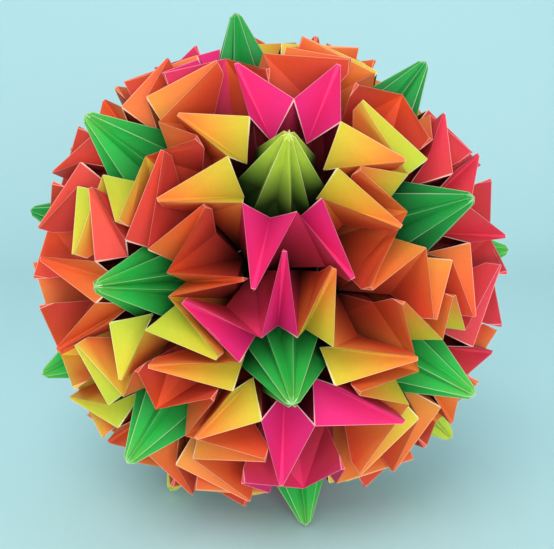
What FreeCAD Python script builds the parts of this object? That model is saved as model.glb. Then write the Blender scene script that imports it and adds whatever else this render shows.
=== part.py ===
# Kusudama ball: twenty-four folded paper flowers set evenly round a centre, point to side.
# Each flower is one folded sheet. From the sheet's middle outwards it makes the pleated bud, the
# floor of the flower, the outer walls, the sharp ridges on top of the walls, and the eight troughs
# that drop inside the collar to the sheet's raw edge.
# Frame: +Z up, origin on the table under the ball's centre. Sizes in millimetres, angles in degrees.
import FreeCAD, Part
import os
from math import cos, sin, radians, degrees, atan2, sqrt

Vector = FreeCAD.Vector

# Sizes of one flower, from the centre of the ball outwards along the flower's own axis
BUD_TIP_RADIUS = 77.5      # point of the green bud, from the ball's centre
ARM_TIP_RADIUS = 71.5      # outer end of a trough, from the ball's centre
RIM_RADIUS = 68.0          # the collar's inner points, from the ball's centre
FLOOR_HEIGHT = 42.0        # the flower's floor round the foot of the bud, along its axis
WALL_FOOT_HEIGHT = 37.0    # the floor's outer edge, where the walls rise
BUD_CROWN_HEIGHT = 76.4    # where the bud's blunt point ends, along the axis
BUD_CROWN = 1.5            # half width of the blunt point over its ridges
CROWN_GROOVE = 0.9         # half width of the blunt point in its grooves
BUD_BODY_HEIGHT = 56.0     # where the bud's sides turn steeper, deep among the walls
BUD_RIDGE = 10.8           # half width of the bud over its ridges
BUD_GROOVE = 6.2           # half width of the bud in its grooves
BUD_FOOT = 12.5            # half width of the bud at the floor
FLOOR_LEAST = 2.5          # the floor's least width between the bud's foot and the wall's
WALL_FOOT = 30.0           # widest half width of the collar at the floor, in a corner of the floor
RIM_HALF = 13.4            # half width of a collar's opening, over its inner points
NOTCH_PLACE = 0.8          # the raw edge's notches, as a part of the way out to the inner points
NOTCH_DEPTH = 11.0         # the raw edge's notches, below the inner points
NOTCH_ROOM = 2.5           # between a notch and the bud's groove at least, out from the axis
KEEL_PLACE = 0.6           # middle of the keel, as a part of the trough's length
KEEL_HEIGHT = 50.5         # middle of the keel, along the axis
ARM_REACH = 34.0           # longest trough, out from the axis
ARM_START = 20.0           # shortest trough before it grows to meet its neighbours
ARM_NOSE = 0.5             # half width of a trough's blunt end
NOSE_DEPTH = 4.0           # height of a trough's blunt end
SHEET = 0.35               # folded paper with its gradient face
CLEARANCE = 0.35           # between a trough's end and the next flower

PLEATS = 8                 # troughs round one collar, and ridges round one bud
SWAY_FREE = 9.0            # degrees a trough may turn aside from its place to each side
SWAY_SEEN = 2.0            # the same where its place can be seen
ASIDE = (0.0, 1.5, -1.5, 3.0, -3.0)   # turns tried, in degrees, where a growing trough is blocked
END_SPACE = 14.0           # troughs' ends nearer together than this turn away from each other
MITRE_LIMIT = 2.2          # longest corner of the paper's thickness, in half thicknesses
SEARCH = 6                 # degrees to each side in which a wall's foot seeks the floor's corner

# Flowers: bearing round the ball, height above its equator, and the turn of its first corner about
# the flower's axis, then how far its troughs lean aside, or None where that can't be seen.
FLOWERS = (
    (-86, 36, 40, (-2, 2, 1, 1, 12, 10, -4, -17)),
    (-86, -12, 72, (0, 0, -11, -14, -8, 15, 4, 19)),
    (-123, 7, 69, (-13, -17, -7, -6, 0, 16, 4, -2)),
    (-45, 22, 42, (None, None, 0, 6, None, -13, None, None)),
    (-44, -17, 71, (13, -2)),
    (-143, 39, 82, (None, None, None, None, 0, -14, -6, -2)),
    (-124, -31, 101, (None, None, None, None, None, None, 0, -5)),
    (-72, -64, 60, ()),
    (-131, 79, 20, ()),
    (-11, 54, 50, ()),
    (175, 13, 45, ()),
    (8, 3, 60, ()),
    (-165, -65, 30, ()),
    (-10, -42, 75, ()),
    (52, -66, 45, ()),
    (131, -44, 40, ()),
    (-173, -24, 70, ()),
    (144, 45, 45, ()),
    (135, -2, 60, ()),
    (96, 20, 30, ()),
    (48, 21, 50, ()),
    (42, -22, 70, ()),
    (71, 58, 45, ()),
    (88, -21, 40, ()),
)
# Uneven collars: how far each inner point turns from its even place and how wide it stands out
RIMS = {
    "flower_01": ((-3, 1.35), (-5, 1.33), (-5, 1.08), (3, 1.04),
                  (8, 1.2), (13, 1.1), (-4, 1.03), (-9, 0.96)),
    "flower_02": ((9, 0.89), (3, 1.01), (-6, 0.97), (-16, 1.03),
                  (-12, 0.97), (0, 1.13), (10, 0.86), (13, 1.03)),
    "flower_03": ((-17, 0.86), (-24, 0.8), (-4, 0.8), (9, 0.81),
                  (-1, 0.83), (10, 0.96), (14, 1.03), (-7, 1.01)),
    "flower_06": ((2, 1.07), (0, 1.0), (0, 1.0), (0, 1.0),
                  (-10, 1.19), (-9, 0.93), (-3, 1.37), (-13, 1.21)),
}
EVEN_RIM = ((0, 1.0),) * PLEATS
RESTING = ("flower_08", "flower_13", "flower_15")   # their buds stand on the table
NAMES = ["flower_%02d" % (i + 1) for i in range(len(FLOWERS))]


def direction(bearing, height):
    b, h = radians(bearing), radians(height)
    return Vector(cos(h) * cos(b), cos(h) * sin(b), sin(h))


def unit(v):
    return v / v.Length


def at_radius(radius, out):
    """Height along the axis of a point that lies out from it, at this distance from the centre."""
    return sqrt(radius ** 2 - out ** 2)


class Flower:
    """One folded sheet, by its own axis, with the lean and the reach of each of its troughs."""

    def __init__(self, axis, rims, corner, leans):
        self.axis = axis
        self.up = unit(Vector(0, 0, 1) - axis * axis.z)
        self.right = self.up.cross(axis)
        self.even = [corner + k * 360 / PLEATS for k in range(PLEATS)]
        self.folds = [a + turn for a, (turn, wide) in zip(self.even, rims)]
        self.openings = [wide * RIM_HALF for turn, wide in rims]
        leans = list(leans) + [None] * (PLEATS - len(leans))
        self.wanted = [a + 180 / PLEATS + (lean or 0) for a, lean in zip(self.even, leans)]
        self.sway = [SWAY_FREE if lean is None else SWAY_SEEN for lean in leans]
        self.azimuth = list(self.wanted)
        self.reach = [ARM_START] * PLEATS
        self.around = []

    def point(self, azimuth, out, height):
        a = radians(azimuth)
        return self.axis * height + (self.right * cos(a) + self.up * sin(a)) * out

    def azimuth_of(self, p):
        return degrees(atan2(p.dot(self.up), p.dot(self.right)))

    def rim(self, k):
        out = self.openings[k % PLEATS]
        return self.point(self.folds[k % PLEATS], out, at_radius(RIM_RADIUS, out))

    def opening_middle(self, k):
        """Halfway between two inner points: azimuth, distance out and height."""
        middle = (self.rim(k) + self.rim(k + 1)) / 2
        height = middle.dot(self.axis)
        return self.azimuth_of(middle), (middle - self.axis * height).Length, height

    def notch(self, k):
        """The raw edge's notch at trough k, over a groove of the bud and clear of it."""
        azimuth, out, height = self.opening_middle(k)
        out *= NOTCH_PLACE
        slope = (BUD_GROOVE - CROWN_GROOVE) / (BUD_CROWN_HEIGHT - BUD_BODY_HEIGHT)
        clear = BUD_CROWN_HEIGHT - (out - NOTCH_ROOM - CROWN_GROOVE) / slope
        return self.point(azimuth, out, max(height - NOTCH_DEPTH, clear))

    def arm_end(self, k, azimuth=None, reach=None, side=0.0, drop=0.0):
        """A point on the blunt end of trough k, to one side of its middle or below it."""
        azimuth = self.azimuth[k] if azimuth is None else azimuth
        reach = self.reach[k] if reach is None else reach
        end = self.point(azimuth, reach, at_radius(ARM_TIP_RADIUS, reach) - drop)
        return end + self.point(azimuth + 90, side, 0)

    def ridges(self, k, azimuth=None, reach=None):
        """Trough k in plan: its ridge, its blunt end and its other ridge."""
        ends = [self.arm_end(k, azimuth, reach, side) for side in (-ARM_NOSE, ARM_NOSE)]
        corners = [on_ball(p) for p in (self.rim(k), *ends, self.rim(k + 1))]
        return list(zip(corners, corners[1:]))

    def room(self, azimuth, height, widest):
        """How far out from the axis the sheet may go there, up to halfway to a neighbour."""
        out = widest
        way = self.point(azimuth, 1, 0)
        spare = CLEARANCE / 2 + MITRE_LIMIT * SHEET / 2
        for g in self.around:
            towards = way.dot(g.axis)
            if towards > 0.01:
                apart = (self.axis - g.axis).Length
                out = min(out, (height * apart ** 2 / 2 - spare * apart) / towards)
        return out

    def bud_foot(self, azimuth):
        """Foot of the bud, clear of the walls where a neighbour stands close."""
        nearest = min(self.room(azimuth + a, WALL_FOOT_HEIGHT, WALL_FOOT) for a in (-15, 0, 15))
        return self.point(azimuth, min(BUD_FOOT, nearest - FLOOR_LEAST), FLOOR_HEIGHT)

    def foot(self, azimuth):
        """Foot of the wall near this azimuth, in the floor's corner where one lies there."""
        def width(a):
            return self.room(a, WALL_FOOT_HEIGHT, WALL_FOOT)
        widest = max(range(-SEARCH, SEARCH + 1), key=lambda aside: width(azimuth + aside))
        if abs(widest) < SEARCH:
            azimuth += widest
        return self.point(azimuth, width(azimuth), WALL_FOOT_HEIGHT)


def on_ball(p):
    """The same direction from the centre, on one common sphere, to compare flowers in plan."""
    return unit(p) * ARM_TIP_RADIUS


def segment_gap(p, q):
    """Shortest distance between two straight edges."""
    (a, b), (c, d) = p, q
    u, v, w = b - a, d - c, a - c
    uu, uv, vv, uw, vw = u.dot(u), u.dot(v), v.dot(v), u.dot(w), v.dot(w)
    det = uu * vv - uv * uv
    s = min(1.0, max(0.0, (uv * vw - vv * uw) / det)) if det > 1e-9 else 0.0
    t = (uv * s + vw) / vv
    if t < 0 or t > 1:
        t = min(1.0, max(0.0, t))
        s = min(1.0, max(0.0, (uv * t - uw) / uu))
    return (w + u * s - v * t).Length


def meet_neighbours(flowers):
    """Tells each flower which others its troughs can reach."""
    limit = 2 * atan2(ARM_REACH, at_radius(ARM_TIP_RADIUS, ARM_REACH)) + radians(4)
    for f in flowers:
        f.around = [g for g in flowers if g is not f and f.axis.getAngle(g.axis) < limit]


def interleave(flowers):
    """Turns each trough a little aside, away from the ends of the neighbours' troughs."""
    for turn in range(40):
        for f in flowers:
            ends = [g.arm_end(j, reach=ARM_REACH) for g in f.around for j in range(PLEATS)]
            for k in range(PLEATS):
                end = f.arm_end(k, reach=ARM_REACH)
                side = f.point(f.azimuth[k] + 90, 1, 0)
                push = 0.0
                for other in ends:
                    gap = (end - other) / END_SPACE
                    if gap.Length < 1:
                        push += gap.dot(side) / (gap.Length ** 2 + 0.02)
                pull = 0.03 * (f.wanted[k] - f.azimuth[k])
                turned = f.azimuth[k] + max(-1.5, min(1.5, 0.18 * push + pull))
                f.azimuth[k] = max(f.wanted[k] - f.sway[k], min(f.wanted[k] + f.sway[k], turned))


def grow(flowers):
    """Lengthens the troughs in turn, with a small turn aside where that helps, until each meets
    its neighbours or has its full reach."""
    room = CLEARANCE + 3.6 * SHEET
    drawn = {(f, k): f.ridges(k) for f in flowers for k in range(PLEATS)}
    for step in (0.06, 0.03, 0.015, 0.006):
        growing = list(drawn)
        while growing:
            still = []
            for f, k in growing:
                reach = f.reach[k] + step * ARM_REACH
                if reach > ARM_REACH * 1.0001:
                    continue
                near = [drawn[g, j] for g in f.around for j in range(PLEATS)]
                for aside in ASIDE:
                    azimuth = f.azimuth[k] + aside
                    mine = f.ridges(k, azimuth, reach)
                    close = [q for r in near for q in r
                             if (q[0] - mine[1][0]).Length < ARM_REACH]
                    if abs(azimuth - f.wanted[k]) <= f.sway[k] \
                            and all(segment_gap(p, q) >= room for q in close for p in mine):
                        f.azimuth[k] = azimuth
                        f.reach[k] = reach
                        drawn[f, k] = mine
                        still.append((f, k))
                        break
            growing = still


def folded_sheet(f):
    """Corners and triangles of one sheet's middle surface, its face towards the bud's outside."""
    pts, tris = [], []

    def add(p):
        pts.append(p)
        return len(pts) - 1

    between = [f.opening_middle(k)[0] for k in range(PLEATS)]
    tip = add(f.point(0, 0, BUD_TIP_RADIUS))
    crown = [add(f.point(a, BUD_CROWN, BUD_CROWN_HEIGHT)) for a in f.folds]
    dip = [add(f.point(a, CROWN_GROOVE, BUD_CROWN_HEIGHT)) for a in between]
    ridge = [add(f.point(a, BUD_RIDGE, BUD_BODY_HEIGHT)) for a in f.folds]
    groove = [add(f.point(a, BUD_GROOVE, BUD_BODY_HEIGHT)) for a in between]
    foot = [add(f.bud_foot(a)) for a in f.folds]
    wall_foot = [add(f.foot(a)) for a in f.even]
    keel_foot = [add(f.foot(a + 180 / PLEATS)) for a in f.even]
    rim = [add(f.rim(k)) for k in range(PLEATS)]
    notch = [add(f.notch(k)) for k in range(PLEATS)]
    left, right, nose, keel = [], [], [], []
    for k in range(PLEATS):
        azimuth, out, _ = f.opening_middle(k)
        start = f.point(azimuth, out, 0)
        along = start + (f.point(f.azimuth[k], f.reach[k], 0) - start) * KEEL_PLACE
        bend = f.azimuth_of(along)
        out = f.room(bend, KEEL_HEIGHT, along.Length)
        left.append(add(f.arm_end(k, side=-ARM_NOSE)))
        right.append(add(f.arm_end(k, side=ARM_NOSE)))
        nose.append(add(f.arm_end(k, reach=f.reach[k] - NOSE_DEPTH / 4, drop=NOSE_DEPTH)))
        keel.append(add(f.point(bend, out, KEEL_HEIGHT)))

    for k in range(PLEATS):
        n = (k + 1) % PLEATS
        tris += [(tip, crown[k], dip[k]), (tip, dip[k], crown[n])]
        tris += [(crown[k], ridge[k], groove[k]), (crown[k], groove[k], dip[k])]
        tris += [(dip[k], groove[k], ridge[n]), (dip[k], ridge[n], crown[n])]
        tris += [(ridge[k], foot[k], groove[k]), (groove[k], foot[k], foot[n]),
                 (groove[k], foot[n], ridge[n])]
        tris += [(foot[k], wall_foot[k], keel_foot[k]), (foot[k], keel_foot[k], foot[n]),
                 (foot[n], keel_foot[k], wall_foot[n])]
        tris += [(wall_foot[k], rim[k], keel[k]), (wall_foot[k], keel[k], keel_foot[k]),
                 (rim[k], left[k], nose[k]), (rim[k], nose[k], keel[k])]
        tris += [(wall_foot[n], keel[k], rim[n]), (wall_foot[n], keel_foot[k], keel[k]),
                 (rim[n], nose[k], right[k]), (rim[n], keel[k], nose[k])]
        tris += [(left[k], right[k], nose[k])]
        tris += [(left[k], rim[k], notch[k]), (right[k], left[k], notch[k]),
                 (rim[n], right[k], notch[k])]
    return pts, tris


def mitres(pts, tris):
    """For each corner, the move that shifts all the facets round it by the same small amount."""
    normals = [[] for _ in pts]
    for t in tris:
        a, b, c = (pts[i] for i in t)
        n = (b - a).cross(c - a)
        n = n / n.Length
        for i in t:
            normals[i].append(n)
    moves = []
    for around in normals:
        # Least squares, by a few steps of descent from the mean normal
        mean = Vector()
        for n in around:
            mean += n
        move = mean / len(around)
        for _ in range(60):
            pull = Vector()
            for n in around:
                pull += n * (1 - n.dot(move))
            move += pull / len(around)
        if move.Length > MITRE_LIMIT:
            move = move * (MITRE_LIMIT / move.Length)
        moves.append(move)
    return moves


def thicken(pts, tris):
    """Facets of the closed solid of the sheet's thickness round its middle surface."""
    moves = mitres(pts, tris)
    front = [p + m * (SHEET / 2) for p, m in zip(pts, moves)]
    back = [p - m * (SHEET / 2) for p, m in zip(pts, moves)]
    facets = []
    edges = set()
    for a, b, c in tris:
        facets += [(front[a], front[b], front[c]), (back[a], back[c], back[b])]
        edges.update([(a, b), (b, c), (c, a)])
    for a, b in sorted(edges):
        if (b, a) not in edges:
            facets += [(front[b], front[a], back[a]), (front[b], back[a], back[b])]
    return facets


def level(axes):
    """Turns the whole ball so that its three resting buds touch the table together."""
    a, b, c = (axes[NAMES.index(name)] for name in RESTING)
    normal = unit((b - a).cross(c - a))
    if normal.z < 0:
        normal = normal * -1
    return FreeCAD.Rotation(normal, Vector(0, 0, 1))


def arrange():
    """The flowers in their places round the ball's centre, with their troughs point to side."""
    axes = [direction(row[0], row[1]) for row in FLOWERS]
    turn = level(axes)
    flowers = [Flower(turn.multVec(a), RIMS.get(name, EVEN_RIM), *row[2:])
               for name, a, row in zip(NAMES, axes, FLOWERS)]
    meet_neighbours(flowers)
    interleave(flowers)
    grow(flowers)
    return flowers


def build():
    sheets = [thicken(*folded_sheet(f)) for f in arrange()]
    box = FreeCAD.BoundBox()
    for sheet in sheets:
        for corners in sheet:
            for p in corners:
                box.add(p)
    to_table = Vector(-box.Center.x, -box.Center.y, -box.ZMin)
    os.makedirs("parts", exist_ok=True)
    for name, sheet in zip(NAMES, sheets):
        faces = [Part.Face(Part.makePolygon([p + to_table for p in (a, b, c, a)]))
                 for a, b, c in sheet]
        solid = Part.Solid(Part.Shell(faces))
        solid.exportStep("parts/%s.step" % name)


build()
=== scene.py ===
"""Kusudama ball of twenty-four folded flowers in gradient paper, on a pale sweep of backdrop."""
from math import atan2, cos, degrees, radians, sin, sqrt

import bpy
from bpy.props import FloatProperty, FloatVectorProperty, IntProperty, PointerProperty
from mathutils import Matrix, Quaternion, Vector, noise


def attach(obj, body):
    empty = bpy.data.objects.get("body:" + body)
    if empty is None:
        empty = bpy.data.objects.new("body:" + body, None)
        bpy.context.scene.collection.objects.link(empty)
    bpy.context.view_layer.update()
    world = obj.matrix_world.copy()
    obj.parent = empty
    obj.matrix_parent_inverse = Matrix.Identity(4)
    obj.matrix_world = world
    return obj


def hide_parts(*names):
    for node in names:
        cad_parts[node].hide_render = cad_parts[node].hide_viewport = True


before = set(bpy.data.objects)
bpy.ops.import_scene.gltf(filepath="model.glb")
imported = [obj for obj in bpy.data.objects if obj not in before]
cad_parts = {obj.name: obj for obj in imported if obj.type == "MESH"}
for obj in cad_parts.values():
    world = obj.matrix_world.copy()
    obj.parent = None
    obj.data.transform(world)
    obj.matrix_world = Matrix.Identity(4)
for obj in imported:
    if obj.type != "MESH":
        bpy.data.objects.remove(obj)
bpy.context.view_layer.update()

bl_info = {
    "name": "Kusudama Ball",
    "version": (1, 0, 0),
    "blender": (4, 5, 0),
    "location": "3D View > Sidebar > Kusudama",
    "description": "Folds and colours the flowers of a paper kusudama ball",
    "category": "Object",
}

MM = 0.001
PLEATS = 8                   # troughs round one collar, and ridges round one bud
ASIDE = (0.0, 1.5, -1.5, 3.0, -3.0)   # turns tried, in degrees, where a growing trough is blocked
MITRE_LIMIT = 2.2            # longest corner of the paper's thickness, in half thicknesses
SEARCH = 6                   # degrees to each side in which a wall's foot seeks a floor corner
TURN_ROUNDS = 40             # rounds in which the troughs turn away from each other
TURN_LIMIT = 1.5             # largest turn of a trough in one round, in degrees
PUSH = 0.18                  # turn away from the ends of the neighbours' troughs
PULL = 0.03                  # turn back to a trough's own place
PUSH_SOFTENING = 0.02        # keeps the push finite where two ends meet
GROW_STEPS = (0.06, 0.03, 0.015, 0.006)   # a trough's growth in one step, in full reaches
SHEETS_BETWEEN = 3.6         # sheets' thicknesses between two growing troughs, past the clearance
SWELL = 54                   # raises a facet's middle by up to twice the swell set for it
FAR = 90.0                   # distance from a fold, in millimetres, on a side that has none
IMAGE_WIDTH = 554            # pixels of the photograph
IMAGE_HEIGHT = 549
BALL_IN_PHOTO = (270, 269)   # pixel of the ball's centre
RESTING = ("flower_08", "flower_13", "flower_15")

# Flowers: bearing and height, the turn of the first corner and the lean of each trough in degrees,
# or None where that can't be seen, the colours of the collar's sides or troughs, and the bud's colour.
FLOWERS = (
    (-86, 36, 40, (-2, 2, 1, 1, 12, 10, -4, -17), "pink sun pink sun", "olive"),
    (-86, -12, 72, (0, 0, -11, -14, -8, 15, 4, 19), "pink sun pink sun", "leaf"),
    (-123, 7, 69, (-13, -17, -7, -6, 0, 16, 4, -2), "red ember lime ember", "leaf"),
    (-45, 22, 42, (None, None, 0, 6, None, -13, None, None),
     "rose lime sun clay clay ember rose rose", "fir"),
    (-44, -17, 71, (13, -2), "sun sun clay rose", "leaf"),
    (-143, 39, 82, (None, None, None, None, 0, -14, -6, -2),
     "ember ember red red lime lime ember clay", "leaf"),
    (-124, -31, 101, (None, None, None, None, None, None, 0, -5), "lime ember clay ember", "leaf"),
    (-72, -64, 60, (), "pink sun rose sun", "leaf"),
    (-131, 79, 20, (), "sun sun pink pink ember pink ember ember", "fir"),
    (-11, 54, 50, (), "sun ember rose sun", "fir"),
    (175, 13, 45, (), "red ember clay ember", "fir"),
    (8, 3, 60, (), "rose rose clay sun", "leaf"),
    (-165, -65, 30, (), "sun ember sun ember", "olive"),
    (-10, -42, 75, (), "sun ember sun rose", "olive"),
    (52, -66, 45, (), "pink sun pink sun", "leaf"),
    (131, -44, 40, (), "ember lime ember lime", "leaf"),
    (-173, -24, 70, (), "sun sun ember ember lime lime lime ember", "leaf"),
    (144, 45, 45, (), "pink sun pink sun", "fir"),
    (135, -2, 60, (), "sun clay sun rose", "leaf"),
    (96, 20, 30, (), "pink sun pink sun", "olive"),
    (48, 21, 50, (), "red ember red ember", "leaf"),
    (42, -22, 70, (), "sun pink sun pink", "leaf"),
    (71, 58, 45, (), "clay sun clay sun", "fir"),
    (88, -21, 40, (), "ember lime red lime", "leaf"),
)
# Uneven collars: how far each inner point turns from its even place and how wide it stands out
RIMS = {
    "flower_01": ((-3, 1.35), (-5, 1.33), (-5, 1.08), (3, 1.04),
                  (8, 1.2), (13, 1.1), (-4, 1.03), (-9, 0.96)),
    "flower_02": ((9, 0.89), (3, 1.01), (-6, 0.97), (-16, 1.03),
                  (-12, 0.97), (0, 1.13), (10, 0.86), (13, 1.03)),
    "flower_03": ((-17, 0.86), (-24, 0.8), (-4, 0.8), (9, 0.81),
                  (-1, 0.83), (10, 0.96), (14, 1.03), (-7, 1.01)),
    "flower_06": ((2, 1.07), (0, 1.0), (0, 1.0), (0, 1.0),
                  (-10, 1.19), (-9, 0.93), (-3, 1.37), (-13, 1.21)),
}
EVEN_RIM = ((0, 1.0),) * PLEATS
NAMES = ["flower_%02d" % (i + 1) for i in range(len(FLOWERS))]

# Places along the paper's gradient: at the collar's inner points, at the troughs' ends, and low
# on the outer walls
SIDES = {
    "pink": (1.00, 0.97, 0.86),
    "sun": (0.42, 0.60, 0.74),
    "red": (0.80, 0.76, 0.80),
    "ember": (0.62, 0.72, 0.80),
    "lime": (0.33, 0.42, 0.62),
    "clay": (0.55, 0.66, 0.76),
    "rose": (0.84, 0.88, 0.84),
}
# Places along the gradient for the bud: its tip, its widest part and its foot, and how fast its
# painted shade deepens for each millimetre further in
BUDS = {
    "olive": (0.31, 0.22, 0.14, 0.075),
    "leaf": (0.17, 0.11, 0.08, 0.040),
    "fir": (0.10, 0.04, 0.0, 0.052),
}
# BUD_SHADE_START: where the buds' painted shade begins
BUD_SHADE_START = 70.0       # millimetres from the ball's centre, where the buds begin to darken


class SheetSettings(bpy.types.PropertyGroup):
    """Sizes of one folded sheet, along and out from its flower's axis, and of the paper."""
    bud_tip: FloatProperty(name="Bud tip", description="Bud's point from the ball's centre",
                           default=77.5 * MM, unit="LENGTH")
    crown_height: FloatProperty(name="Point height", description="Foot of the bud's blunt point",
                                default=76.4 * MM, unit="LENGTH")
    crown: FloatProperty(name="Point", description="Half width of the blunt point over its ridges",
                         default=1.5 * MM, unit="LENGTH")
    crown_groove: FloatProperty(name="Point groove", description="Half width in its grooves",
                                default=0.9 * MM, unit="LENGTH")
    bud_height: FloatProperty(name="Bud height", description="Where the bud's sides turn steeper",
                              default=56.0 * MM, unit="LENGTH")
    bud: FloatProperty(name="Bud", description="Half width of the bud over its ridges",
                       default=10.8 * MM, unit="LENGTH")
    bud_groove: FloatProperty(name="Bud groove", description="Half width of the bud in its grooves",
                              default=6.2 * MM, unit="LENGTH")
    bud_foot: FloatProperty(name="Bud foot", description="Half width of the bud at the floor",
                            default=12.5 * MM, unit="LENGTH")
    floor: FloatProperty(name="Floor", description="Height of the flower's inner floor",
                         default=42.0 * MM, unit="LENGTH")
    foot_height: FloatProperty(name="Wall foot height", description="Where the walls rise",
                               default=37.0 * MM, unit="LENGTH")
    wall_foot: FloatProperty(name="Wall foot", description="Widest half width at the floor",
                             default=30.0 * MM, unit="LENGTH")
    rim_radius: FloatProperty(name="Rim radius", description="Collar's inner points from the centre",
                              default=68.0 * MM, unit="LENGTH")
    rim: FloatProperty(name="Rim", description="Half width of a collar's opening",
                       default=13.4 * MM, unit="LENGTH")
    notch: FloatProperty(name="Notch", description="Raw edge's notches on the way to the points",
                         default=0.8, subtype="FACTOR")
    notch_depth: FloatProperty(name="Notch depth", description="Notches below the inner points",
                               default=11.0 * MM, unit="LENGTH")
    notch_room: FloatProperty(name="Notch room", description="Least room from notch to bud",
                              default=2.5 * MM, unit="LENGTH")
    keel_place: FloatProperty(name="Keel place", description="Keel's bend along the trough",
                              default=0.6, subtype="FACTOR")
    keel_height: FloatProperty(name="Keel height", description="Height of the keel's bend",
                               default=50.5 * MM, unit="LENGTH")
    tip_radius: FloatProperty(name="Trough end radius", description="Troughs' ends from the centre",
                              default=71.5 * MM, unit="LENGTH")
    reach: FloatProperty(name="Reach", description="Longest trough, out from the axis",
                         default=34.0 * MM, unit="LENGTH")
    start: FloatProperty(name="Start", description="Shortest trough before it grows",
                         default=20.0 * MM, unit="LENGTH")
    nose: FloatProperty(name="Nose", description="Half width of a trough's blunt end",
                        default=0.5 * MM, unit="LENGTH")
    nose_depth: FloatProperty(name="Nose depth", description="Height of a trough's blunt end",
                              default=4.0 * MM, unit="LENGTH")
    sway: FloatProperty(name="Sway", description="How far a hidden trough may turn aside",
                        default=radians(9), unit="ROTATION")
    seen_sway: FloatProperty(name="Seen sway", description="How far a seen trough may turn aside",
                             default=radians(2), unit="ROTATION")
    end_space: FloatProperty(name="End space", description="Ends nearer than this push apart",
                             default=14.0 * MM, unit="LENGTH")
    paper: FloatProperty(name="Paper", description="Thickness of the folded paper",
                         default=0.35 * MM, unit="LENGTH")
    floor_least: FloatProperty(name="Floor least", description="Least width of a flower's floor",
                               default=2.5 * MM, unit="LENGTH")
    clearance: FloatProperty(name="Clearance", description="Room between two flowers",
                             default=0.35 * MM, unit="LENGTH")
    billow: FloatProperty(name="Billow", description="How far a facet swells between its folds",
                          default=0.22 * MM, unit="LENGTH")
    divisions: IntProperty(name="Divisions", description="Divisions along each side of a facet",
                           default=5)


class ColourSettings(bpy.types.PropertyGroup):
    """The paper's gradient, from the middle of the sheet to its corners."""
    fir: FloatVectorProperty(name="Fir", description="Deep green of the darkest buds",
                             default=(0.0, 0.10, 0.028), subtype="COLOR")
    leaf: FloatVectorProperty(name="Leaf", description="Fresh green of most buds",
                              default=(0.02, 0.36, 0.05), subtype="COLOR")
    lime: FloatVectorProperty(name="Lime", description="Yellow-green",
                              default=(0.47, 0.54, 0.04), subtype="COLOR")
    sun: FloatVectorProperty(name="Sun", description="Warm yellow",
                             default=(0.62, 0.45, 0.035), subtype="COLOR")
    orange: FloatVectorProperty(name="Orange", description="Orange",
                                default=(0.72, 0.19, 0.035), subtype="COLOR")
    ember: FloatVectorProperty(name="Ember", description="Red-orange",
                               default=(0.66, 0.07, 0.020), subtype="COLOR")
    red: FloatVectorProperty(name="Red", description="Warm red",
                             default=(0.60, 0.040, 0.045), subtype="COLOR")
    pink: FloatVectorProperty(name="Pink", description="Hot pink",
                              default=(0.70, 0.018, 0.160), subtype="COLOR")
    # Fold: pale tint, used for the painted highlight along the sharp folds and for the real pale core
    # on the cut edges
    fold: FloatVectorProperty(name="Fold", description="Worn paper along the sharp folds",
                              default=(1.0, 0.83, 0.70), subtype="COLOR")
    backdrop: FloatVectorProperty(name="Backdrop", description="Pale blue sweep behind the ball",
                                  default=(0.52, 0.78, 0.80), subtype="COLOR")


class StageSettings(bpy.types.PropertyGroup):
    """Where the camera stood, and the studio's light."""
    distance: FloatProperty(name="Distance", description="Camera from the ball's centre",
                            default=280 * MM, unit="LENGTH")
    elevation: FloatProperty(name="Elevation", description="Camera above the ball's middle",
                             default=radians(12), unit="ROTATION")
    focal_pixels: FloatProperty(name="Focal length", description="Focal length in pixels",
                                default=898.5)
    key_power: FloatProperty(name="Key light", description="Power of the soft light above",
                             default=4.3, unit="POWER")
    fill_power: FloatProperty(name="Fill light", description="Power of the light by the camera",
                              default=7.0, unit="POWER")
    sky: FloatProperty(name="Sky", description="Strength of the even light all round", default=0.60)


# Geometry of the ball, as the solids have it


def direction(bearing, height):
    b, h = radians(bearing), radians(height)
    return Vector((cos(h) * cos(b), cos(h) * sin(b), sin(h)))


def at_radius(radius, out):
    """Height along the axis of a point that lies out from it, at this distance from the centre."""
    return sqrt(radius ** 2 - out ** 2)


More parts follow.
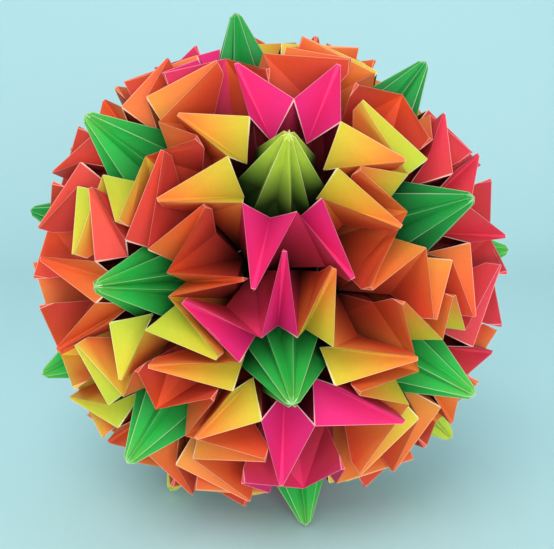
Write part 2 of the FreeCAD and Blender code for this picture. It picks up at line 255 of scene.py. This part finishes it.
class Flower:
    """One folded sheet, by its own axis, with the lean and the reach of each of its troughs."""

    def __init__(self, size, axis, rims, corner, leans):
        self.size = size
        self.axis = axis
        self.up = (Vector((0, 0, 1)) - axis * axis.z).normalized()
        self.right = self.up.cross(axis)
        self.even = [corner + k * 360 / PLEATS for k in range(PLEATS)]
        self.folds = [a + turn for a, (turn, wide) in zip(self.even, rims)]
        self.openings = [wide * size.rim for turn, wide in rims]
        leans = list(leans) + [None] * (PLEATS - len(leans))
        self.wanted = [a + 180 / PLEATS + (lean or 0) for a, lean in zip(self.even, leans)]
        self.sway = [degrees(size.sway if lean is None else size.seen_sway) for lean in leans]
        self.azimuth = list(self.wanted)
        self.reach = [size.start] * PLEATS
        self.around = []

    def point(self, azimuth, out, height):
        a = radians(azimuth)
        return self.axis * height + (self.right * cos(a) + self.up * sin(a)) * out

    def azimuth_of(self, p):
        return degrees(atan2(p.dot(self.up), p.dot(self.right)))

    def rim(self, k):
        out = self.openings[k % PLEATS]
        return self.point(self.folds[k % PLEATS], out, at_radius(self.size.rim_radius, out))

    def opening_middle(self, k):
        """Halfway between two inner points: azimuth, distance out and height."""
        middle = (self.rim(k) + self.rim(k + 1)) / 2
        height = middle.dot(self.axis)
        return self.azimuth_of(middle), (middle - self.axis * height).length, height

    def notch(self, k):
        """The raw edge's notch at trough k, over a groove of the bud and clear of it."""
        size = self.size
        azimuth, out, height = self.opening_middle(k)
        out *= size.notch
        slope = (size.bud_groove - size.crown_groove) / (size.crown_height - size.bud_height)
        clear = size.crown_height - (out - size.notch_room - size.crown_groove) / slope
        return self.point(azimuth, out, max(height - size.notch_depth, clear))

    def arm_end(self, k, azimuth=None, reach=None, side=0.0, drop=0.0):
        """A point on the blunt end of trough k, to one side of its middle or below it."""
        azimuth = self.azimuth[k] if azimuth is None else azimuth
        reach = self.reach[k] if reach is None else reach
        end = self.point(azimuth, reach, at_radius(self.size.tip_radius, reach) - drop)
        return end + self.point(azimuth + 90, side, 0)

    def ridges(self, k, azimuth=None, reach=None):
        """Trough k in plan: its ridge, its blunt end and its other ridge."""
        ends = [self.arm_end(k, azimuth, reach, side) for side in (-self.size.nose, self.size.nose)]
        corners = [p.normalized() * self.size.tip_radius
                   for p in (self.rim(k), *ends, self.rim(k + 1))]
        return list(zip(corners, corners[1:]))

    def room(self, azimuth, height, widest):
        """How far out from the axis the sheet may go there, up to halfway to a neighbour."""
        out = widest
        way = self.point(azimuth, 1, 0)
        spare = self.size.clearance / 2 + MITRE_LIMIT * self.size.paper / 2
        for g in self.around:
            towards = way.dot(g.axis)
            if towards > 0.01:
                apart = (self.axis - g.axis).length
                out = min(out, (height * apart ** 2 / 2 - spare * apart) / towards)
        return out

    def bud_foot(self, azimuth):
        """Foot of the bud, clear of the walls where a neighbour stands close."""
        size = self.size
        nearest = min(self.room(azimuth + a, size.foot_height, size.wall_foot) for a in (-15, 0, 15))
        return self.point(azimuth, min(size.bud_foot, nearest - size.floor_least), size.floor)

    def foot(self, azimuth):
        """Foot of the wall near this azimuth, in the floor's corner where one lies there."""
        def width(a):
            return self.room(a, self.size.foot_height, self.size.wall_foot)
        widest = max(range(-SEARCH, SEARCH + 1), key=lambda aside: width(azimuth + aside))
        if abs(widest) < SEARCH:
            azimuth += widest
        return self.point(azimuth, width(azimuth), self.size.foot_height)


def segment_gap(p, q):
    """Shortest distance between two straight edges."""
    (a, b), (c, d) = p, q
    u, v, w = b - a, d - c, a - c
    uu, uv, vv, uw, vw = u.dot(u), u.dot(v), v.dot(v), u.dot(w), v.dot(w)
    det = uu * vv - uv * uv
    s = min(1.0, max(0.0, (uv * vw - vv * uw) / det)) if det > 1e-15 else 0.0
    t = (uv * s + vw) / vv
    if t < 0 or t > 1:
        t = min(1.0, max(0.0, t))
        s = min(1.0, max(0.0, (uv * t - uw) / uu))
    return (w + u * s - v * t).length


def interleave(flowers, size):
    """Turns each trough a little aside, away from the ends of the neighbours' troughs."""
    for _ in range(TURN_ROUNDS):
        for f in flowers:
            ends = [g.arm_end(j, reach=size.reach) for g in f.around for j in range(PLEATS)]
            for k in range(PLEATS):
                end = f.arm_end(k, reach=size.reach)
                side = f.point(f.azimuth[k] + 90, 1, 0)
                push = 0.0
                for other in ends:
                    gap = (end - other) / size.end_space
                    if gap.length < 1:
                        push += gap.dot(side) / (gap.length ** 2 + PUSH_SOFTENING)
                pull = PULL * (f.wanted[k] - f.azimuth[k])
                turn = max(-TURN_LIMIT, min(TURN_LIMIT, PUSH * push + pull))
                turned = f.azimuth[k] + turn
                f.azimuth[k] = max(f.wanted[k] - f.sway[k], min(f.wanted[k] + f.sway[k], turned))


def grow(flowers, size):
    """Lengthens the troughs in turn, with a small turn aside where that helps, until each meets
    its neighbours or has its full reach."""
    room = size.clearance + SHEETS_BETWEEN * size.paper
    drawn = {(f, k): f.ridges(k) for f in flowers for k in range(PLEATS)}
    for step in GROW_STEPS:
        growing = list(drawn)
        while growing:
            still = []
            for f, k in growing:
                reach = f.reach[k] + step * size.reach
                if reach > size.reach * 1.0001:
                    continue
                near = [drawn[g, j] for g in f.around for j in range(PLEATS)]
                for aside in ASIDE:
                    azimuth = f.azimuth[k] + aside
                    mine = f.ridges(k, azimuth, reach)
                    close = [q for r in near for q in r
                             if (q[0] - mine[1][0]).length < size.reach]
                    if abs(azimuth - f.wanted[k]) <= f.sway[k] + 1e-4 \
                            and all(segment_gap(p, q) >= room for q in close for p in mine):
                        f.azimuth[k] = azimuth
                        f.reach[k] = reach
                        drawn[f, k] = mine
                        still.append((f, k))
                        break
            growing = still


def level_turn(axes):
    """Turns the whole ball so that its three resting buds touch the table together."""
    a, b, c = (axes[NAMES.index(name)] for name in RESTING)
    normal = (b - a).cross(c - a).normalized()
    if normal.z < 0:
        normal = -normal
    return normal.rotation_difference(Vector((0, 0, 1)))


def arrange(size):
    """The flowers in their places round the ball's centre, with their troughs point to side."""
    axes = [direction(row[0], row[1]) for row in FLOWERS]
    turn = level_turn(axes)
    flowers = [Flower(size, turn @ a, RIMS.get(name, EVEN_RIM), *row[2:4])
               for name, a, row in zip(NAMES, axes, FLOWERS)]
    limit = 2 * atan2(size.reach, at_radius(size.tip_radius, size.reach)) + radians(4)
    for f in flowers:
        f.around = [g for g in flowers if g is not f and f.axis.angle(g.axis) < limit]
    interleave(flowers, size)
    grow(flowers, size)
    return flowers


def folded_sheet(f, size, sides, bud):
    """Corners, facets and sharp folds of one sheet. A facet is three corners with three places
    along the paper's gradient, where its painted shade starts and how fast it deepens."""
    pts, facets, folds = [], [], set()

    def add(p):
        pts.append(p)
        return len(pts) - 1

    # start and rate: where a facet's painted shade begins, and how fast it deepens further in
    def facet(*corners, start=size.rim_radius, rate=1 / (size.rim_radius - size.floor)):
        facets.append(([c[0] for c in corners], [c[1] for c in corners], start, rate))

    # a bud's facets take the bud's own painted shade
    def petal(*corners):
        facet(*corners, start=BUD_SHADE_START * MM, rate=bud_shade_rate / MM)

    def fold(a, b):
        folds.add((min(a, b), max(a, b)))

    between = [f.opening_middle(k)[0] for k in range(PLEATS)]
    bud_tip, bud_body, bud_low, bud_shade_rate = BUDS[bud]
    tip = add(f.point(0, 0, size.bud_tip))
    crown = [add(f.point(a, size.crown, size.crown_height)) for a in f.folds]
    dip = [add(f.point(a, size.crown_groove, size.crown_height)) for a in between]
    ridge = [add(f.point(a, size.bud, size.bud_height)) for a in f.folds]
    groove = [add(f.point(a, size.bud_groove, size.bud_height)) for a in between]
    foot = [add(f.bud_foot(a)) for a in f.folds]
    wall_foot = [add(f.foot(a)) for a in f.even]
    keel_foot = [add(f.foot(a + 180 / PLEATS)) for a in f.even]
    rim = [add(f.rim(k)) for k in range(PLEATS)]
    notch = [add(f.notch(k)) for k in range(PLEATS)]
    for k in range(PLEATS):
        n = (k + 1) % PLEATS
        inner, outer, low = SIDES[sides[k * len(sides) // PLEATS]]
        azimuth, out, _ = f.opening_middle(k)
        start = f.point(azimuth, out, 0)
        along = start + (f.point(f.azimuth[k], f.reach[k], 0) - start) * size.keel_place
        bend = f.azimuth_of(along)
        keel = add(f.point(bend, f.room(bend, size.keel_height, along.length), size.keel_height))
        left = add(f.arm_end(k, side=-size.nose))
        right = add(f.arm_end(k, side=size.nose))
        nose = add(f.arm_end(k, reach=f.reach[k] - size.nose_depth / 4, drop=size.nose_depth))
        t, b, g = (tip, bud_tip), bud_body, bud_low
        petal(t, (crown[k], bud_tip), (dip[k], bud_tip))
        petal(t, (dip[k], bud_tip), (crown[n], bud_tip))
        petal((crown[k], bud_tip), (ridge[k], b), (groove[k], b))
        petal((crown[k], bud_tip), (groove[k], b), (dip[k], bud_tip))
        petal((dip[k], bud_tip), (groove[k], b), (ridge[n], b))
        petal((dip[k], bud_tip), (ridge[n], b), (crown[n], bud_tip))
        petal((ridge[k], b), (foot[k], g), (groove[k], b))
        petal((groove[k], b), (foot[k], g), (foot[n], g))
        petal((groove[k], b), (foot[n], g), (ridge[n], b))
        facet((foot[k], g), (wall_foot[k], low), (keel_foot[k], low))
        facet((foot[k], g), (keel_foot[k], low), (foot[n], g))
        facet((foot[n], g), (keel_foot[k], low), (wall_foot[n], low))
        mid, end = inner * 0.6 + low * 0.4, outer * 0.7 + low * 0.3
        facet((wall_foot[k], low), (rim[k], mid), (keel, low))
        facet((wall_foot[k], low), (keel, low), (keel_foot[k], low))
        facet((rim[k], mid), (left, end), (nose, low))
        facet((rim[k], mid), (nose, low), (keel, low))
        facet((wall_foot[n], low), (keel, low), (rim[n], mid))
        facet((wall_foot[n], low), (keel_foot[k], low), (keel, low))
        facet((rim[n], mid), (nose, low), (right, end))
        facet((rim[n], mid), (keel, low), (nose, low))
        facet((left, end), (right, end), (nose, low))
        facet((left, outer), (rim[k], inner), (notch[k], inner))
        facet((right, outer), (left, outer), (notch[k], inner))
        facet((rim[n], inner), (right, outer), (notch[k], inner))
        for a, c in ((crown[k], ridge[k]), (ridge[k], foot[k]), (rim[k], left), (left, right),
                     (right, rim[n]), (keel, nose), (keel, keel_foot[k]), (rim[k], notch[k]),
                     (notch[k], rim[n]), (left, nose), (right, nose), (tip, crown[k])):
            fold(a, c)
    return pts, facets, folds


def mitres(pts, facets):
    """For each corner, the move that shifts all the facets round it by the same small amount."""
    normals = [[] for _ in pts]
    for (i, j, k), *_ in facets:
        n = (pts[j] - pts[i]).cross(pts[k] - pts[i]).normalized()
        for corner in (i, j, k):
            normals[corner].append(n)
    moves = []
    for around in normals:
        move = sum(around, Vector()) / len(around)
        for _ in range(60):
            move += sum((n * (1 - n.dot(move)) for n in around), Vector()) / len(around)
        moves.append(move * min(1.0, MITRE_LIMIT / move.length))
    return moves


def heights(a, b, c):
    """The triangle's three heights, over the sides opposite a, b and c."""
    area = (b - a).cross(c - a).length
    return area / (c - b).length, area / (a - c).length, area / (b - a).length


def sheet_mesh(name, f, size, sides, bud, seed, to_table):
    """The sheet as a closed mesh with its thickness, each facet divided and slightly swollen."""
    pts, facets, folds = folded_sheet(f, size, sides, bud)
    moves = mitres(pts, facets)
    n = size.divisions
    verts, index, faces, cores = [], {}, [], []
    tints, creases, painted_shade_depths = [], [], []
    edge_count = {}
    for corners, *_ in facets:
        for a, b in zip(corners, corners[1:] + corners[:1]):
            edge_count[min(a, b), max(a, b)] = edge_count.get((min(a, b), max(a, b)), 0) + 1

    def vertex(key, p):
        if key not in index:
            index[key] = len(verts)
            verts.append(p + to_table)
        return index[key]

    for number, (corners, hues, start, rate) in enumerate(facets):
        a, b, c = corners
        normal = (pts[b] - pts[a]).cross(pts[c] - pts[a]).normalized()
        tall = [h / MM if (min(p, q), max(p, q)) in folds else FAR
                for h, (p, q) in zip(heights(pts[a], pts[b], pts[c]), ((b, c), (c, a), (a, b)))]
        far = [0.0 if h < FAR else FAR for h in tall]
        swell = size.billow * noise.noise(Vector((seed * 3.1, number * 1.7, 0.5))) * SWELL
        for face in (1, -1):
            grid = {}
            for i in range(n + 1):
                for j in range(n + 1 - i):
                    w = (i / n, j / n, (n - i - j) / n)
                    key = key_of(number, corners, (i, j, n - i - j), n)
                    flat = pts[a] * w[0] + pts[b] * w[1] + pts[c] * w[2]
                    move = moves[a] * w[0] + moves[b] * w[1] + moves[c] * w[2]
                    p = flat + move * (face * size.paper / 2) + normal * (swell * w[0] * w[1] * w[2])
                    hue = hues[0] * w[0] + hues[1] * w[1] + hues[2] * w[2]
                    near = [h * u + e for h, u, e in zip(tall, w, far)]
                    # the fourth item is the depth of the painted shade, from where it starts inwards
                    grid[i, j] = (vertex((face, key), p), hue, near, (start - p.length) * rate)
            for i in range(n):
                for j in range(n - i):
                    triangles = [((i, j), (i + 1, j), (i, j + 1))]
                    if i + j < n - 1:
                        triangles.append(((i + 1, j), (i + 1, j + 1), (i, j + 1)))
                    for t in triangles:
                        t = t if face == 1 else t[::-1]
                        faces.append([grid[q][0] for q in t])
                        for q in t:
                            tints.append(grid[q][1])
                            creases.extend(grid[q][2])
                            painted_shade_depths.append(grid[q][3])
                        cores.append(0)
        hue = dict(zip(corners, hues))
        for p, q in ((a, b), (b, c), (c, a)):
            if edge_count[min(p, q), max(p, q)] > 1:
                continue
            for s in range(n):
                near, far_end = edge_key(p, q, s, n), edge_key(p, q, s + 1, n)
                faces.append([index[1, far_end], index[1, near], index[-1, near],
                              index[-1, far_end]])
                tints += [hue[p]] * 4
                creases += [FAR] * 12
                painted_shade_depths += [0.0] * 4
                cores.append(1)
    mesh = bpy.data.meshes.new(name)
    mesh.from_pydata(verts, [], faces)
    mesh.attributes.new("hue", "FLOAT", "CORNER").data.foreach_set("value", tints)
    mesh.attributes.new("crease", "FLOAT_VECTOR", "CORNER").data.foreach_set("vector", creases)
    # depth: how deep each corner lies in the painted shade
    mesh.attributes.new("depth", "FLOAT", "CORNER").data.foreach_set("value", painted_shade_depths)
    mesh.polygons.foreach_set("material_index", cores)
    mesh.shade_smooth()
    mesh.set_sharp_from_angle(angle=radians(14))
    return mesh


def edge_key(p, q, s, n):
    """Name of the point s steps of n along the edge from corner p to corner q."""
    if s == 0:
        return p
    if s == n:
        return q
    return (p, q, s) if p < q else (q, p, n - s)


def key_of(number, corners, steps, n):
    """Name of a point of a facet, the same in both facets where they meet."""
    a, b, c = corners
    i, j, k = steps
    if k == 0:
        return edge_key(a, b, j, n)
    if i == 0:
        return edge_key(b, c, k, n)
    if j == 0:
        return edge_key(c, a, i, n)
    return (number, i, j, k)


# Materials


def new_group(name, inputs, outputs):
    """An empty shader group with these named sockets, and its two ends."""
    group = bpy.data.node_groups.new(name, "ShaderNodeTree")
    for label, kind, value in inputs:
        socket = group.interface.new_socket(label, in_out="INPUT", socket_type=kind)
        socket.default_value = value
    for label, kind in outputs:
        group.interface.new_socket(label, in_out="OUTPUT", socket_type=kind)
    return group, group.nodes.new("NodeGroupInput"), group.nodes.new("NodeGroupOutput")


def fibre_group():
    """Fine paper fibre: a height for bump and a faint mottle."""
    group, start, end = new_group(
        "paper_fibre",
        [("Fibre Scale", "NodeSocketFloat", 2600.0), ("Mottle", "NodeSocketFloat", 0.12)],
        [("Height", "NodeSocketFloat"), ("Shade", "NodeSocketFloat")])
    nodes, links = group.nodes, group.links
    place = nodes.new("ShaderNodeTexCoord")
    fibre = nodes.new("ShaderNodeTexNoise")
    fibre.inputs["Detail"].default_value = 3.0
    cloud = nodes.new("ShaderNodeTexNoise")
    cloud.inputs["Scale"].default_value = 900.0
    cloud.inputs["Detail"].default_value = 4.0
    spread = nodes.new("ShaderNodeMath")
    spread.operation = "MULTIPLY_ADD"
    base = nodes.new("ShaderNodeMath")
    base.operation = "MULTIPLY_ADD"
    base.inputs[1].default_value = -0.5
    base.inputs[2].default_value = 1.0
    links.new(place.outputs["Object"], fibre.inputs["Vector"])
    links.new(place.outputs["Object"], cloud.inputs["Vector"])
    links.new(start.outputs["Fibre Scale"], fibre.inputs["Scale"])
    links.new(start.outputs["Mottle"], base.inputs[0])
    links.new(cloud.outputs["Fac"], spread.inputs[0])
    links.new(start.outputs["Mottle"], spread.inputs[1])
    links.new(base.outputs[0], spread.inputs[2])
    links.new(fibre.outputs["Fac"], end.inputs["Height"])
    links.new(spread.outputs[0], end.inputs["Shade"])
    return group


def gradient_ramp(nodes, colours):
    """The paper's printed gradient as a colour ramp."""
    ramp = nodes.new("ShaderNodeValToRGB")
    stops = [(0.0, colours.fir), (0.15, colours.leaf), (0.32, colours.lime), (0.44, colours.sun),
             (0.58, colours.orange), (0.72, colours.ember), (0.84, colours.red),
             (1.0, colours.pink)]
    elements = ramp.color_ramp.elements
    while len(elements) < len(stops):
        elements.new(0.5)
    for element, (place, colour) in zip(elements, stops):
        element.position = place
        element.color = (*colour, 1.0)
    return ramp


def paper_material(fibre, colours):
    """Gradient paper, with a painted highlight along its sharp folds and painted shade deepening
    further in.
    """
    material = bpy.data.materials.new("gradient_paper")
    material.use_nodes = True
    nodes, links = material.node_tree.nodes, material.node_tree.links
    shader = nodes["Principled BSDF"]
    shader.inputs["Roughness"].default_value = 0.62
    shader.inputs["Specular IOR Level"].default_value = 0.22
    hue = nodes.new("ShaderNodeAttribute")
    hue.attribute_name = "hue"
    crease = nodes.new("ShaderNodeAttribute")
    crease.attribute_name = "crease"
    # how deep the point lies in the painted shade
    painted_shade_depth = nodes.new("ShaderNodeAttribute")
    painted_shade_depth.attribute_name = "depth"
    ramp = gradient_ramp(nodes, colours)
    grain = nodes.new("ShaderNodeGroup")
    grain.node_tree = fibre
    split = nodes.new("ShaderNodeSeparateXYZ")
    nearer = nodes.new("ShaderNodeMath")
    nearer.operation = "MINIMUM"
    nearest = nodes.new("ShaderNodeMath")
    nearest.operation = "MINIMUM"
    # painted highlight: the fold tint is mixed in near the sharp folds and raw edges, and fades in the
    # painted shade
    fold_highlight = nodes.new("ShaderNodeMapRange")
    fold_highlight.interpolation_type = "SMOOTHSTEP"
    fold_highlight.inputs["From Min"].default_value = 0.02
    fold_highlight.inputs["From Max"].default_value = 0.24
    fold_highlight.inputs["To Min"].default_value = 0.30
    fold_highlight.inputs["To Max"].default_value = 0.0
    # painted shade: darkens the paper's colour further in, towards the flowers' floors and the buds'
    # feet
    painted_shade = nodes.new("ShaderNodeMapRange")
    painted_shade.inputs["From Min"].default_value = 0.08
    painted_shade.inputs["From Max"].default_value = 1.0
    painted_shade.inputs["To Min"].default_value = 1.0
    painted_shade.inputs["To Max"].default_value = 0.08
    both = nodes.new("ShaderNodeMath")
    both.operation = "MULTIPLY"
    lines = nodes.new("ShaderNodeMath")
    lines.operation = "MULTIPLY"
    shade = nodes.new("ShaderNodeVectorMath")
    shade.operation = "SCALE"
    pale = nodes.new("ShaderNodeMix")
    pale.data_type = "RGBA"
    pale.inputs["B"].default_value = (*colours.fold, 1.0)
    bump = nodes.new("ShaderNodeBump")
    bump.inputs["Strength"].default_value = 0.12
    bump.inputs["Distance"].default_value = 0.06 * MM
    links.new(hue.outputs["Fac"], ramp.inputs["Fac"])
    links.new(crease.outputs["Vector"], split.inputs["Vector"])
    links.new(split.outputs["X"], nearer.inputs[0])
    links.new(split.outputs["Y"], nearer.inputs[1])
    links.new(nearer.outputs[0], nearest.inputs[0])
    links.new(split.outputs["Z"], nearest.inputs[1])
    links.new(nearest.outputs[0], fold_highlight.inputs["Value"])
    links.new(painted_shade_depth.outputs["Fac"], painted_shade.inputs["Value"])
    links.new(painted_shade.outputs["Result"], both.inputs[0])
    links.new(grain.outputs["Shade"], both.inputs[1])
    links.new(ramp.outputs["Color"], shade.inputs[0])
    links.new(both.outputs[0], shade.inputs["Scale"])
    links.new(fold_highlight.outputs["Result"], lines.inputs[0])
    links.new(painted_shade.outputs["Result"], lines.inputs[1])
    links.new(lines.outputs[0], pale.inputs["Factor"])
    links.new(shade.outputs["Vector"], pale.inputs["A"])
    links.new(pale.outputs["Result"], shader.inputs["Base Color"])
    links.new(grain.outputs["Height"], bump.inputs["Height"])
    links.new(bump.outputs["Normal"], shader.inputs["Normal"])
    return material


def edge_material(fibre, colours):
    """The paper's cut edge, where its pale core shows."""
    material = bpy.data.materials.new("cut_edge")
    material.use_nodes = True
    nodes, links = material.node_tree.nodes, material.node_tree.links
    shader = nodes["Principled BSDF"]
    shader.inputs["Roughness"].default_value = 0.8
    hue = nodes.new("ShaderNodeAttribute")
    hue.attribute_name = "hue"
    ramp = gradient_ramp(nodes, colours)
    grain = nodes.new("ShaderNodeGroup")
    grain.node_tree = fibre
    pale = nodes.new("ShaderNodeMix")
    pale.data_type = "RGBA"
    pale.inputs["Factor"].default_value = 0.5
    pale.inputs["B"].default_value = (*colours.fold, 1.0)
    shade = nodes.new("ShaderNodeVectorMath")
    shade.operation = "SCALE"
    links.new(hue.outputs["Fac"], ramp.inputs["Fac"])
    links.new(ramp.outputs["Color"], pale.inputs["A"])
    links.new(pale.outputs["Result"], shade.inputs[0])
    links.new(grain.outputs["Shade"], shade.inputs["Scale"])
    links.new(shade.outputs["Vector"], shader.inputs["Base Color"])
    return material


def backdrop_material(colours):
    """Smooth pale paper sweep."""
    material = bpy.data.materials.new("backdrop_paper")
    material.use_nodes = True
    nodes, links = material.node_tree.nodes, material.node_tree.links
    shader = nodes["Principled BSDF"]
    shader.inputs["Roughness"].default_value = 0.75
    shader.inputs["Base Color"].default_value = (*colours.backdrop, 1.0)
    return material


# Operators


class KUSUDAMA_OT_flowers(bpy.types.Operator):
    """Fold the flowers in gradient paper, each in its place on the ball"""
    bl_idname = "kusudama.flowers"
    bl_label = "Fold Flowers"

    def execute(self, context):
        size = context.scene.kusudama_sheet
        fibre = fibre_group()
        paper = paper_material(fibre, context.scene.kusudama_colour)
        cut = edge_material(fibre, context.scene.kusudama_colour)
        flowers = arrange(size)
        to_table = table_shift(flowers, size)
        for seed, (name, f, row) in enumerate(zip(NAMES, flowers, FLOWERS)):
            mesh = sheet_mesh(name + "_paper", f, size, row[4].split(), row[5], seed, to_table)
            mesh.materials.append(paper)
            mesh.materials.append(cut)
            piece = bpy.data.objects.new(name + "_paper", mesh)
            context.collection.objects.link(piece)
            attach(piece, "root")
            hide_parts(name)
        return {"FINISHED"}


def table_shift(flowers, size):
    """From the ball's centre to the frame's origin, on the table under the middle of the box."""
    low, high = Vector((1, 1, 1)), Vector((-1, -1, -1))
    for f in flowers:
        pts, facets, _ = folded_sheet(f, size, ["sun"] * 4, "leaf")
        for p, m in zip(pts, mitres(pts, facets)):
            for q in (p + m * size.paper / 2, p - m * size.paper / 2):
                low = Vector(map(min, low, q))
                high = Vector(map(max, high, q))
    return Vector((-(low.x + high.x) / 2, -(low.y + high.y) / 2, -low.z))


class KUSUDAMA_OT_stage(bpy.types.Operator):
    """Set the camera, the soft lights and the pale sweep behind the ball"""
    bl_idname = "kusudama.stage"
    bl_label = "Set Stage"

    def execute(self, context):
        stage = context.scene.kusudama_stage
        size = context.scene.kusudama_sheet
        turn = level_turn([direction(row[0], row[1]) for row in FLOWERS])
        centre = table_shift(arrange(size), size)
        back = turn @ Vector((0, -cos(stage.elevation), sin(stage.elevation)))
        up = turn @ Vector((0, sin(stage.elevation), cos(stage.elevation)))
        data = bpy.data.cameras.new("camera")
        data.sensor_width = 36.0
        data.lens = stage.focal_pixels * data.sensor_width / IMAGE_WIDTH
        data.shift_x = (IMAGE_WIDTH / 2 - BALL_IN_PHOTO[0]) / IMAGE_WIDTH
        data.shift_y = (BALL_IN_PHOTO[1] - IMAGE_HEIGHT / 2) / IMAGE_WIDTH
        data.clip_start = 0.01
        camera = bpy.data.objects.new("camera", data)
        right = up.cross(back)
        axes = Matrix((right, up, back)).transposed().to_4x4()
        camera.matrix_world = Matrix.Translation(centre + back * stage.distance) @ axes
        context.collection.objects.link(camera)
        context.scene.camera = camera
        self.light("key", (-0.14, -0.62, 0.75), 0.55, stage.key_power, centre)
        self.light("fill", (0.10, -0.85, 0.12), 0.50, stage.fill_power, centre)
        self.sweep(context)
        world = bpy.data.worlds.new("studio")
        world.use_nodes = True
        sky = world.node_tree.nodes["Background"]
        sky.inputs["Color"].default_value = (0.86, 0.95, 1.0, 1.0)
        sky.inputs["Strength"].default_value = stage.sky
        context.scene.world = world
        context.scene.view_settings.view_transform = "Standard"
        return {"FINISHED"}

    def light(self, name, place, width, power, centre):
        data = bpy.data.lights.new(name, "AREA")
        data.size = width
        data.energy = power
        lamp = bpy.data.objects.new(name, data)
        lamp.location = place
        lamp.rotation_euler = (lamp.location - centre).to_track_quat("Z", "Y").to_euler()
        bpy.context.collection.objects.link(lamp)

    def sweep(self, context):
        """A floor that curves up into a wall behind."""
        colours = context.scene.kusudama_colour
        half, front, back, radius, top = 1.6, -1.6, 0.35, 0.3, 1.6
        line = [(front, 0.0), (back, 0.0)]
        line += [(back + radius * sin(radians(a)), radius * (1 - cos(radians(a))))
                 for a in range(6, 91, 6)]
        line.append((back + radius, top))
        verts = [(x, y, z) for y, z in line for x in (-half, half)]
        faces = [(2 * i, 2 * i + 1, 2 * i + 3, 2 * i + 2) for i in range(len(line) - 1)]
        mesh = bpy.data.meshes.new("sweep")
        mesh.from_pydata(verts, [], faces)
        mesh.shade_smooth()
        mesh.materials.append(backdrop_material(colours))
        piece = bpy.data.objects.new("sweep", mesh)
        context.collection.objects.link(piece)


class KUSUDAMA_PT_panel(bpy.types.Panel):
    """Kusudama ball"""
    bl_idname = "KUSUDAMA_PT_panel"
    bl_label = "Kusudama Ball"
    bl_space_type = "VIEW_3D"
    bl_region_type = "UI"
    bl_category = "Kusudama"

    def draw(self, context):
        layout = self.layout
        for group in ("kusudama_sheet", "kusudama_colour", "kusudama_stage"):
            settings = getattr(context.scene, group)
            box = layout.box()
            for prop in settings.bl_rna.properties:
                if prop.identifier not in ("name", "rna_type"):
                    box.prop(settings, prop.identifier)
        layout.operator("kusudama.flowers")
        layout.operator("kusudama.stage")


CLASSES = (SheetSettings, ColourSettings, StageSettings, KUSUDAMA_OT_flowers, KUSUDAMA_OT_stage,
           KUSUDAMA_PT_panel)


def register():
    for cls in CLASSES:
        bpy.utils.register_class(cls)
    bpy.types.Scene.kusudama_sheet = PointerProperty(type=SheetSettings)
    bpy.types.Scene.kusudama_colour = PointerProperty(type=ColourSettings)
    bpy.types.Scene.kusudama_stage = PointerProperty(type=StageSettings)


def unregister():
    del bpy.types.Scene.kusudama_stage
    del bpy.types.Scene.kusudama_colour
    del bpy.types.Scene.kusudama_sheet
    for cls in reversed(CLASSES):
        bpy.utils.unregister_class(cls)


def main():
    register()
    bpy.ops.kusudama.flowers()
    bpy.ops.kusudama.stage()


if __name__ == "__main__":
    main()
